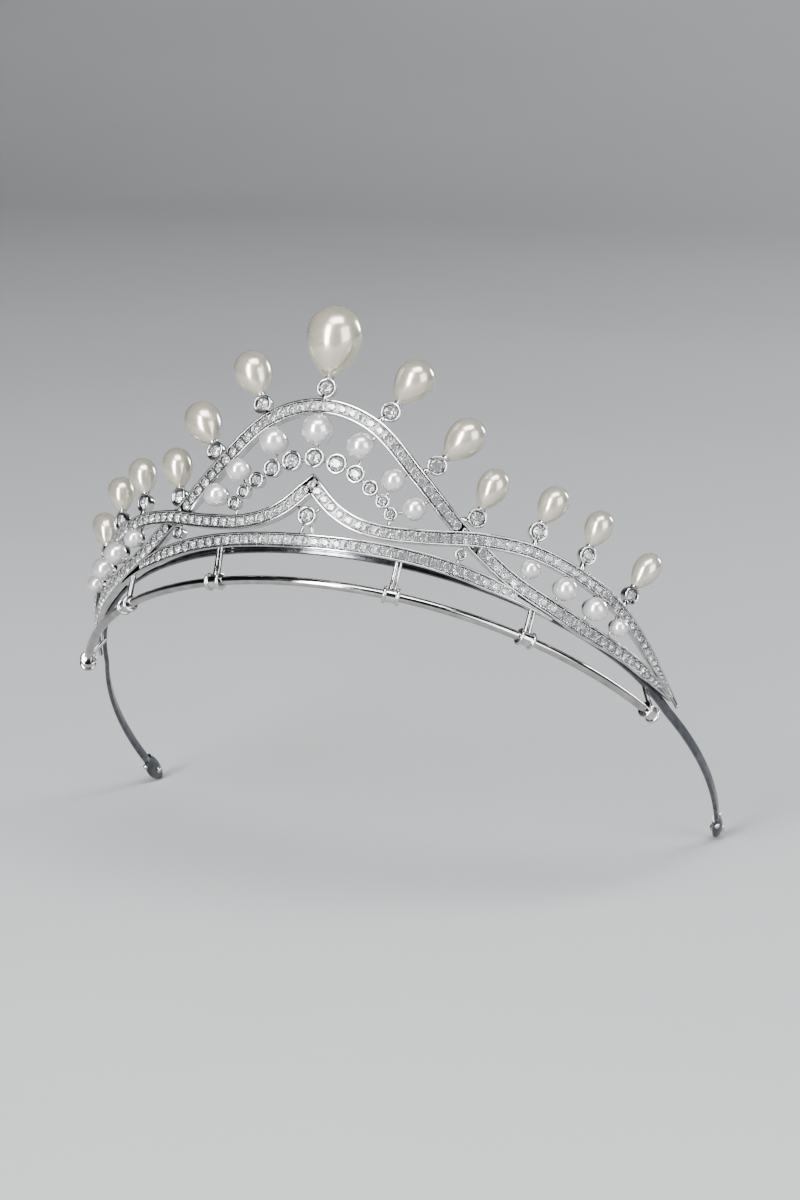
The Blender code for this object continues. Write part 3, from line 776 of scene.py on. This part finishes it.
def pave_row(name, height, width, start, stop, replaces):
    stones, beads, saddles = Gather(), Gather(), Gather()
    places = row_places(height, width, start, stop)
    for i, (s, radius) in enumerate(places):
        scale = min(1, radius)
        centre = band_point(height, s or 0.001, 0, -GIRDLE_DEPTH * scale)
        lean = (facing(s) + along(s) * chance.uniform(-0.06, 0.06)
                + rising(s) * chance.uniform(-0.06, 0.06)).normalized()
        set_stone(stones, centre, lean, radius, chance.uniform(0, math.tau))
        if i + 1 < len(places):
            step = places[i + 1][0] - s
            saddle(saddles, height, s, places[i + 1][0], radius)
            for side in (-1, 1):
                for shift in (-1, 1):
                    at = s + step / 2 + math.copysign(BEAD_SPREAD * scale, step) * shift
                    spot = band_point(height, at or 0.001, side * radius * 0.8, -scale)
                    claw(beads, spot, facing(at), BEAD_RADIUS * scale, 0.99 * scale)
    build_stones(stones, name, pave_crystal, replaces)
    # The saddles take the dark metal: painted shade between the stones.
    beads.merge(saddles, 1)
    beads.build(f"{name}_claws", polished, painted_shade_seat_metal, edge=60)
    return len(places)


ARCH_PAVE_END = 27.2
BASE_PAVE_END = 41
LEG_PAVE = (31.0, 81)
OGEE_PAVE = (0.5, 86.5)

total = pave_row("arch_pave_stones", *ARCH, -ARCH_PAVE_END, ARCH_PAVE_END, ("arch_pave",))
total += pave_row("base_pave_stones", *BASE, -BASE_PAVE_END, BASE_PAVE_END, ("base_pave",))
for side, word in SIDES:
    total += pave_row(f"{word}_leg_pave_stones", *ARCH, side * LEG_PAVE[0], side * LEG_PAVE[1],
                      (f"{word}_leg_pave",))
    total += pave_row(f"{word}_ogee_pave_stones", *OGEE, side * OGEE_PAVE[0], side * OGEE_PAVE[1],
                      ("ogee_pave",) if side > 0 else ())

# %% [markdown]
# Where bands meet, the rows leave corners too small for their own stones. A setter fills these
# with odd sizes: beside the crossings, in the ogee's peak, and in the wedge between ogee and leg.

# %% Fill the corners
CORNER_STONES = ((27.65, 0.45, -0.22, 0.52), (30.3, -0.45, -0.12, 0.27))  # s, across, proud, radius
PEAK_DROP = 0.15
PEAK_STONE_RADIUS = 0.8
WEDGE = (81.3, 85.6)
WEDGE_FIT = 0.95


def corner_stones():
    stones = Gather()
    for side in (-1, 1):
        for s, across, proud, radius in CORNER_STONES:
            set_stone(stones, band_point(arch_height, side * s, across, proud), facing(side * s), radius, 0.4)
    peak = on_front(0, ogee_height(0) - PEAK_DROP) - facing(0) * GIRDLE_DEPTH
    set_stone(stones, peak, facing(0), PEAK_STONE_RADIUS, 0.2)
    at = WEDGE[0]
    while at < WEDGE[1]:
        above = ogee_height(at) - ogee_width(at)
        below = arch_height(at) - arch_width(at) + rim_width(arch_width(at))
        radius = (above - below) / 2 * WEDGE_FIT
        for side in (-1, 1):
            face = facing(side * at)
            centre = on_front(side * at, (above + below) / 2) - face * GIRDLE_DEPTH * radius
            set_stone(stones, centre, face, radius, 0.3)
        at += radius * 2
    build_stones(stones, "corner_pave_stones", pave_crystal)
    return len(stones.faces) // len(CROWN_FACES + BACK_FACES)


total += corner_stones()
print("pave stones:", total)

# %% [markdown]
# ## Collets
#
# A bezel collet is a short tube: a thick polished lip stands round a slope, painted dark as shade,
# that leads down to the stone; the wall tapers towards the back, and a smaller ring finishes it behind.
# Under each drop pearl there is also a stem to the band and a tiny cup that takes the pearl's narrow end.

# %% Turn a collet
COLLET_DEPTH = 2.0
JOIN_DEPTH = 1.2
LIP = 0.46
SLOPE = 0.3
LIP_END = 12  # where the lip's rounding ends in the profile
LIP_SPREAD = 0.1  # a drop's bezel is burnished outwards a little where it is closed over the stone


def collet(work, stones, spot, proud, radius):
    """A bezel: tapered wall, half-round lip, then a slope down to the stone, painted dark as shade."""
    centre, face, depth = on_front(*spot, proud), facing(spot[0]), -COLLET_DEPTH
    profile = [(radius * 0.6, depth), (radius * 0.8, depth), (radius * 0.84, depth + 0.12),
               (radius * 0.84, depth + 0.4), (radius * 0.92, depth + 0.7), (radius, -0.7), (radius, -LIP / 2)]
    for step in range(1, 7):
        a = math.pi * step / 7
        profile.append((radius - LIP / 2 + LIP / 2 * math.cos(a), -LIP / 2 + LIP / 2 * math.sin(a)))
    slope_end = radius - LIP - min(SLOPE, radius * 0.16)
    profile += [(radius - LIP, -LIP / 2 - 0.02), (slope_end + 0.03, -0.42), (slope_end, -0.5),
                (slope_end, -0.9), (radius * 0.6, -1.3)]
    # From the end of the lip's rounding inwards the faces take the dark metal: painted shade on the slope.
    work.turn(profile, centre, face, 32, closed=True, dark=range(LIP_END, len(profile)))
    set_stone(stones, centre - face * 0.42, face, slope_end + 0.06, chance.uniform(0, math.tau))


DROPS = (
    ((0, 37.8), 1.85, (0, 47.12), 10.8, 14.35),
    ((11.2, 34.6), 1.85, (13.67, 41.13), 7.4, 9.67),
    ((20.6, 26.4), 1.85, (23.82, 32.66), 7.2, 9.77),
    ((29.6, 18.9), 1.8, (30.7, 25.23), 5.9, 8.65),
    ((41.0, 20.6), 1.8, (42.04, 26.63), 5.7, 8.04),
    ((51.8, 20.6), 1.75, (52.09, 26.45), 5.5, 7.61),
    ((64.3, 18.4), 1.7, (65.57, 24.37), 5.3, 8.2),
)
DROP_SET_BACK = -2.44
DROP_COLLET_SET_BACK = -1.27
ARCH_DROPS = 4
ARCH_STEM_END = 25.6
OGEE_STEM_END = 80
STEM_RADIUS = 0.6
WALL = 0.8  # where a wire leaves a collet, as a share of its radius
PEG_RADIUS = 0.45


def mirrored(place, side):
    return (place[0] * side, place[1])


def both_sides(place):
    """(side, place) on the left and the right, or once for a place in the middle."""
    return [(side, mirrored(place, side)) for side in ((-1, 1) if place[0] else (1,))]


def edge_nearest(height, width, place, furthest):
    """The point of a band's rim nearest to a place, no further out than furthest."""
    s, h = place
    tries = np.arange(0, furthest + 0.01, 0.1) * math.copysign(1, s)
    root = min(((float(t), height(t)) for t in tries), key=lambda p: math.hypot(p[0] - s, p[1] - h))
    away = math.hypot(s - root[0], h - root[1])
    share = (width(root[0]) - RIM * 0.5) / away
    return root[0] + (s - root[0]) * share, root[1] + (h - root[1]) * share


def behind(place, proud=0.0, depth=JOIN_DEPTH):
    return on_front(*place, proud) - facing(place[0]) * depth


def strut(work, collet_middle, radius, share, tip, thickness):
    """A wire to tip from a collet's wall, a share of its radius away from its middle."""
    work.rod(collet_middle + (tip - collet_middle).normalized() * radius * share, tip, thickness)


def drop_axis(index, side):
    """Centre of a drop pearl, the middle of its collet and the direction between them."""
    place, _, pearl, _, _ = DROPS[index]
    middle = behind(mirrored(place, side), DROP_COLLET_SET_BACK)
    centre = on_front(*mirrored(pearl, side), DROP_SET_BACK)
    return centre, middle, (centre - middle).normalized()


def drop_mounts():
    work, stones = Gather(), Gather()
    for index, (place, radius, _, diameter, length) in enumerate(DROPS):
        band, furthest = (ARCH, ARCH_STEM_END) if index < ARCH_DROPS else (OGEE, OGEE_STEM_END)
        for side, spot in both_sides(place):
            centre, middle, axis = drop_axis(index, side)
            collet(work, stones, spot, DROP_COLLET_SET_BACK, radius + LIP_SPREAD)
            root = edge_nearest(*band, spot, furthest)
            foot = behind(root)
            edge = middle + (foot - middle).normalized() * radius * WALL
            work.rod(foot, edge, STEM_RADIUS)
            tip = centre - axis * (length / 2)
            work.rod(middle + axis * (radius * 0.7), tip + axis * 0.12, PEG_RADIUS)
            size = 0.62 + 0.035 * diameter
            cup = [(0.2, -0.16), (size * 0.75, -0.12), (size * 0.98, 0.12), (size * 1.06, 0.34),
                   (size * 0.98, 0.38), (size * 0.86, 0.2), (0.2, 0.02)]
            work.turn(cup, tip, axis, 24, closed=True)
    work.build("drop_collets_and_cups", polished, painted_shade_metal, edge=45)
    build_stones(stones, "drop_collet_stones", bezel_crystal)


drop_mounts()

# %% [markdown]
# ## The inner arc, the peak stone and the side stones
#
# Eleven collets shrink towards the ends of the arc and are soldered rim to rim. Short links carry
# them to the pearls and down to the ogee.

# %% Set the inner collets
ARC_COLLETS = (((0, 23.5), 1.95), ((4.0, 22.7), 2.0), ((7.5, 21.2), 1.8), ((10.4, 19.0), 1.6),
               ((12.9, 16.9), 1.4), ((14.7, 14.8), 1.35))
ARC_PROUD = 0.43
PEAK_COLLET = ((0, 12.4), 1.85)
PEAK_STRUTS = ((2.3, -1.75), (1.3, -0.1))  # s, and height from the ogee's line or the base band's edge
SIDE_COLLET = ((28.3, 10.8), 1.2)
SIDE_PROUD = 0.2
LINK_RADIUS = 0.33
SIDE_LINK_RADIUS = 0.32
STRUT_RADIUS = 0.3
BITE = 0.1  # how far a link reaches into a band


def inner_arc():
    work, stones = Gather(), Gather()
    for place, radius in ARC_COLLETS:
        for _, spot in both_sides(place):
            collet(work, stones, spot, ARC_PROUD, radius)
    for side in (-1, 1):
        line = [mirrored(place, side) for place, _ in ARC_COLLETS]
        for near, far in zip(line, line[1:]):
            start, end = behind(near, ARC_PROUD), behind(far, ARC_PROUD)
            work.rod(start.lerp(end, 0.35), start.lerp(end, 0.65), LINK_RADIUS)
        s = line[-1][0]
        end = behind((s, ogee_height(s) + ogee_width(s) - BITE))
        work.rod(behind(line[-1], ARC_PROUD).lerp(end, 0.4), end, LINK_RADIUS)
    work.build("inner_arc_collets", polished, painted_shade_metal, edge=45, replaces=("arc_collets",))
    build_stones(stones, "inner_arc_stones", bezel_crystal)


def peak_stone():
    work, stones = Gather(), Gather()
    place, radius = PEAK_COLLET
    collet(work, stones, place, ARC_PROUD, radius)
    for side in (-1, 1):
        (high, drop), (low, bite) = PEAK_STRUTS
        above = (high * side, ogee_height(high) + drop)
        below = (low * side, base_height(low) + base_width(low) + bite)
        for end in (above, below):
            strut(work, behind(place, ARC_PROUD), radius, 0.85, behind(end), STRUT_RADIUS)
    work.build("peak_collet_and_struts", polished, painted_shade_metal, edge=45, replaces=("peak_collet",))
    build_stones(stones, "peak_stone", bezel_crystal)


def side_stones():
    for side, word in SIDES:
        work, stones = Gather(), Gather()
        place = mirrored(SIDE_COLLET[0], side)
        radius = SIDE_COLLET[1]
        collet(work, stones, place, SIDE_PROUD, radius)
        s = place[0]
        for end in ((s, ogee_height(s) - ogee_width(s) + BITE), (s, base_height(s) + base_width(s) - BITE)):
            strut(work, behind(place, SIDE_PROUD), radius, WALL, behind(end), SIDE_LINK_RADIUS)
        work.build(f"{word}_side_collet_and_links", polished, painted_shade_metal, edge=45,
                   replaces=(f"{word}_side_collet",))
        build_stones(stones, f"{word}_side_stone", bezel_crystal)


inner_arc()
peak_stone()
side_stones()

# %% [markdown]
# ## Pearls
#
# A drop is a sphere whose lower half is drawn in: its radius is a sine, squeezed towards the tip.
# The round pearls are turned the same way, with the very slight flattening that real ones have.

# %% Turn the pearls
TEARDROP = 0.5
FLATTENING = 0.985
PEARL_SIDES = 56
PEARL_TURNS = np.linspace(0, math.pi, 41)


def drop_profile(diameter, length):
    bulge = np.sin(PEARL_TURNS) * np.sin(PEARL_TURNS / 2) ** TEARDROP
    return [(float(b / bulge.max() * diameter / 2), float(-math.cos(t) * length / 2))
            for t, b in zip(PEARL_TURNS, bulge)]


def round_profile(diameter):
    return [(float(math.sin(t) * diameter / 2), float(-math.cos(t) * diameter / 2 * FLATTENING))
            for t in PEARL_TURNS]


def pearl_name(kind, index, side):
    if index == 0:
        return f"{kind}_centre"
    return f"{kind}_{'left' if side < 0 else 'right'}_{index}"


def one_pearl(name, profile, centre, axis, finish, slot):
    pearl = Gather()
    pearl.turn(profile, centre, axis, PEARL_SIDES)
    pearl.build(f"{name}_nacre", finish, edge=80, replaces=(name,), slot=slot)


ARCH_PEARLS = (((0, 28.7), 6.1), ((7.6, 26.4), 5.4), ((14.0, 21.05), 4.6), ((18.5, 16.6), 4.6))
ARCH_PEARL_PROUD = 0.57
WINDOW_PEARLS = (((41.1, 12.35), 3.8), ((48.8, 11.7), 4.7), ((56.2, 11.05), 4.7), ((62.8, 10.4), 3.6))
WINDOW_PEARL_PROUD = 0.87
ARCH_WIRE_END = 26
FINE_WIRE, ARCH_WIRE, WINDOW_WIRE = 0.24, 0.3, 0.28  # radii of the wires that hold the pearls
PEARL_LINKS = {0: 0, 1: 2, 2: 4, 3: 5}  # arch pearl to the arc collet that it is wired to


def pearl_seat(work, spot, proud, diameter):
    """A shallow cup behind a round pearl, its rim just inside the outline. Returns the pearl's back."""
    centre, face, radius = on_front(*spot, proud), facing(spot[0]), diameter / 2
    rim, foot = radius * 0.8, radius * 0.5
    profile = [(foot, -radius * 1.12), (rim * 0.9, -radius * 1.0), (rim, -radius * 0.72),
               (rim, -radius * 0.52), (rim - 0.12, -radius * 0.5), (rim - 0.14, -radius * 0.74),
               (foot, -radius * 0.98)]
    work.turn(profile, centre, face, 28, closed=True)
    return centre - face * diameter * 0.5


def pearl_seats():
    work = Gather()
    for index, (place, diameter) in enumerate(ARCH_PEARLS):
        for side, spot in both_sides(place):
            seat = pearl_seat(work, spot, ARCH_PEARL_PROUD, diameter)
            collet_place, collet_radius = ARC_COLLETS[PEARL_LINKS[index]]
            near = behind(mirrored(collet_place, side), ARC_PROUD)
            strut(work, near, collet_radius, WALL, seat, FINE_WIRE)
            root = edge_nearest(*ARCH, spot, ARCH_WIRE_END)
            work.rod(behind(root), seat, ARCH_WIRE)
    for place, diameter in WINDOW_PEARLS:
        for _, spot in both_sides(place):
            seat = pearl_seat(work, spot, WINDOW_PEARL_PROUD, diameter)
            s = spot[0]
            for end in ((s, ogee_height(s) - ogee_width(s) + BITE),
                        (s, arch_height(s) + arch_width(s) - BITE)):
                work.rod(behind(end), seat, WINDOW_WIRE)
    work.build("round_pearl_cups_and_wires", polished, edge=45)


pearl_seats()
for index, (place, _, _, diameter, length) in enumerate(DROPS):
    for side, _ in both_sides(place):
        centre, _, axis = drop_axis(index, side)
        one_pearl(pearl_name("drop_pearl", index, side), drop_profile(diameter, length), centre, axis,
                  drop_nacre, "drop_nacre")
for kind, pearls, proud, first in (("round_pearl", ARCH_PEARLS, ARCH_PEARL_PROUD, 0),
                                   ("window_pearl", WINDOW_PEARLS, WINDOW_PEARL_PROUD, 1)):
    for index, (place, diameter) in enumerate(pearls, first):
        for side, spot in both_sides(place):
            one_pearl(pearl_name(kind, index, side), round_profile(diameter), on_front(*spot, proud),
                      rising(spot[0]), round_nacre, "round_nacre")

# %% [markdown]
# ## Headband
#
# The rail is drawn wire that rests on the hair. Spool collars hold it, on posts made of two flat
# bars laid side by side. Behind the base band runs a flat spring strip, whose bare ends are the arms.
# The strip, the arms and the caps' bodies are coloured nearly black, a painted dark reflection.

# %% Rail, collars and posts
RAIL_RADIUS = 0.85
RAIL_END = 78.8
COLLAR_AT = {"inner": 17.9, "middle": 44.8, "outer": RAIL_END}
COLLAR_LENGTH = 3.3
COLLAR_LIP = 0.75
COLLAR_WAIST = 1.32
COLLAR_SWELL = 0.38
POST_BARS = ((-0.36, 0.38), (0.46, 0.27))  # each bar's offset along the rail and half width
POST_HALF_DEPTH = 0.42
POST_FOOT = 1.2
TIP_BEAD_RADIUS = 0.45
STRIP_HEIGHT = 1.8
STRIP_THICKNESS = 0.9
GAP = 0.3


def level_along(s):
    return Vector((-outward(s).y, outward(s).x, 0))


def behind_bands(s):
    back = band_depth(s) + GAP + STRIP_THICKNESS / 2
    h = (strip_height(s) - back * math.sin(FLARE)) / math.cos(FLARE)
    return on_front(s, h) - facing(s) * back


def rail():
    wire = Gather()
    rings = []
    for s in stations(-RAIL_END, RAIL_END, 0.9):
        rings.append([plan_point(s) + (outward(s) * math.cos(a) + Vector((0, 0, math.sin(a)))) * RAIL_RADIUS
                      for a in full_turn(24)])
    wire.loft(rings)
    wire.build("rail_drawn_wire", drawn_wire, edge=60, replaces=("rail_wire",))


def spool(tag, s):
    """A collar: a thin sleeve between two rounded lips."""
    half = COLLAR_LENGTH / 2
    bore = RAIL_RADIUS + 0.02
    profile = [(bore, -half)]
    for start, stop in ((-half, -half + COLLAR_LIP), (half - COLLAR_LIP, half)):
        centre = (start + stop) / 2
        for step in range(9):
            a = math.pi * step / 8
            profile.append((COLLAR_WAIST + COLLAR_SWELL * math.sin(a), centre - 0.36 * math.cos(a)))
    profile.append((bore, half))
    sleeve = Gather()
    sleeve.turn(profile, plan_point(s), level_along(s), 32, closed=True)
    sleeve.build(f"collar_{tag}_spool", polished, edge=50, replaces=(f"rail_collar_{tag}",))


def post_top(which, s):
    if which == "outer":
        return behind_bands(s) - rising(s) * (STRIP_HEIGHT / 2 - 0.1)
    return on_front(s, base_height(s) - base_width(s) + 0.1) - facing(s) * (band_depth(s) / 2)


def post(which, side, word):
    """Two flat bars side by side from the collar up to the band, with a dark slit between them."""
    s = side * COLLAR_AT[which]
    bottom = plan_point(s) + Vector((0, 0, POST_FOOT))
    top = post_top(which, s)
    bars = Gather()
    for offset, half in POST_BARS:
        rings = []
        for t in np.linspace(0, 1, 11):
            foot = 1 + 0.25 * (1 - t) ** 8
            centre = bottom.lerp(top, t) + level_along(s) * offset
            ring = []
            for a in full_turn(16):
                bulge = math.copysign(abs(math.sin(a)) ** 0.6, math.sin(a)) * POST_HALF_DEPTH
                ring.append(centre + level_along(s) * (math.cos(a) * half * foot)
                            + outward(s) * (bulge * foot))
            rings.append(ring)
        bars.loft(rings)
    bars.build(f"post_{which}_{word}_bars", polished, edge=60, replaces=(f"rail_post_{which}_{word}",))


def tip_beads():
    """The little ball that closes each end of the front."""
    beads = Gather()
    for side in (-1, 1):
        tip = on_front(side * (BAND_TIP + 0.2), ogee_height(BAND_TIP))
        beads.ball(tip - facing(side * BAND_TIP) * 0.35, TIP_BEAD_RADIUS, 16)
    beads.build("front_tip_beads", polished, edge=80)


rail()
tip_beads()
for side, word in SIDES:
    for which, distance in COLLAR_AT.items():
        spool(f"{which}_{word}", side * distance)
        post(which, side, word)

# %% Spring strip, arms and end caps
FLEX_AT = 89.0
ARM_END = 131.6
ARM_END_REACH = -1.4
ARM_BOW = 0.5
CAP_LENGTH = 6.4
CAP_WIDTH = 4.2
CAP_THICKNESS = 2.3
CAP_LAP = 0.3  # how far the cap reaches back over the arm
CAP_OVERLENGTH = 0.9
EDGE_ROUND = 0.25
STRIP_SPLIT = 80.0


def arm_centre(s):
    side = math.copysign(1, s)
    root = behind_bands(side * FLEX_AT) - plan_point(side * FLEX_AT)
    root_reach = root.dot(outward(side * FLEX_AT))
    t = (abs(s) - FLEX_AT) / (STRIP_LINE[-1][0] - FLEX_AT)
    reach = root_reach * (1 - t) + ARM_END_REACH * t + ARM_BOW * math.sin(math.pi * t)
    height = root.z * (1 - t) + STRIP_LINE[-1][1] * t
    return plan_point(s) + outward(s) * reach + Vector((0, 0, height))


def strap_section(s):
    """Flat strap with rounded edges at s, on the strip or on an arm."""
    on_arm = abs(s) > FLEX_AT
    flare = FLARE * max(0.0, 1 - (abs(s) - FLEX_AT) / (ARM_END - FLEX_AT)) if on_arm else FLARE
    centre = arm_centre(s) if on_arm else behind_bands(s)
    high, deep = STRIP_HEIGHT / 2, STRIP_THICKNESS / 2
    ring = []
    for corner, (u, v) in enumerate(((1, 1), (-1, 1), (-1, -1), (1, -1))):
        for step in range(4):
            a = math.pi / 2 * (corner + step / 3)
            ring.append(centre + rising(s, flare) * (u * (high - EDGE_ROUND) + EDGE_ROUND * math.cos(a))
                        + facing(s, flare) * (v * (deep - EDGE_ROUND) + EDGE_ROUND * math.sin(a)))
    return ring


def strip_piece(name, start, stop, replaces, body):
    strap = Gather()
    strap.loft([strap_section(s) for s in stations(start, stop, 0.8)])
    return strap.build(name, spring_strip_painted_dark_reflection, body=body, edge=60, replaces=replaces)


def end_cap(side, word):
    """A flattened bulb over the arm's end, with two balls at its neck and a stud on each face. The bulb takes
    the strip's painted dark reflection; the balls and studs are polished.
    """
    root = arm_centre(side * (ARM_END - CAP_LAP))
    near, far = (arm_centre(side * (ARM_END + CAP_LAP + more)) for more in (0, 1))
    direction = (far - near).normalized()
    face = facing(side * ARM_END, 0)
    face = (face - direction * face.dot(direction)).normalized()
    up = direction.cross(face) * -side
    half = CAP_THICKNESS / 2
    cap = Gather()
    rings = []
    for t in np.linspace(0, 1, 28):
        swell = math.sin(math.pi * (0.16 + 0.84 * t) ** 1.15) ** 0.55 if t < 1 else 0.05
        centre = root + direction * ((CAP_LENGTH + CAP_OVERLENGTH) * t)
        across = max(0.1, CAP_WIDTH / 2 * swell)
        crown = CAP_THICKNESS * swell
        ring = []
        for a in full_turn(28):
            lift = math.sin(a)
            depth = (crown * 0.45 - half) * 0.5 + (crown * 0.55 * lift if lift > 0 else crown * 0.45 * lift)
            ring.append(centre + up * (across * math.cos(a)) + face * depth)
        rings.append(ring)
    cap.loft(rings)
    body_faces = len(cap.faces)
    for u in (-1, 1):
        cap.ball(root + direction * 0.9 + up * (u * 1.35) + face * 0.25, 0.6, 16)
        cap.ball(root + direction * (CAP_LENGTH * 0.68) + face * (u * 0.75), 0.8, 20)
    cap.finishes[body_faces:] = [1] * (len(cap.faces) - body_faces)
    cap.build(f"{word}_cap_shell", spring_strip_painted_dark_reflection, polished, body=f"{word}_side_arm", edge=60,
              replaces=(f"{word}_end_cap",))


strip_piece("strip_behind_bands", -STRIP_SPLIT, STRIP_SPLIT, ("backing_strip",), "front")
for side, word in SIDES:
    arm = strip_piece(f"{word}_arm_spring", side * STRIP_SPLIT, side * ARM_END, (f"{word}_arm",), None)
    tuple(placed(behind_bands(side * (FLEX_AT - 5))))
    tuple(placed(arm_centre(side * (FLEX_AT + 10))))
    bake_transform(arm)
    end_cap(side, word)

# %% [markdown]
# ## The imported model's box
#
# The box of the imported model, measured when it was loaded.

# %% Print the imported box
print("cad box", cad_box)
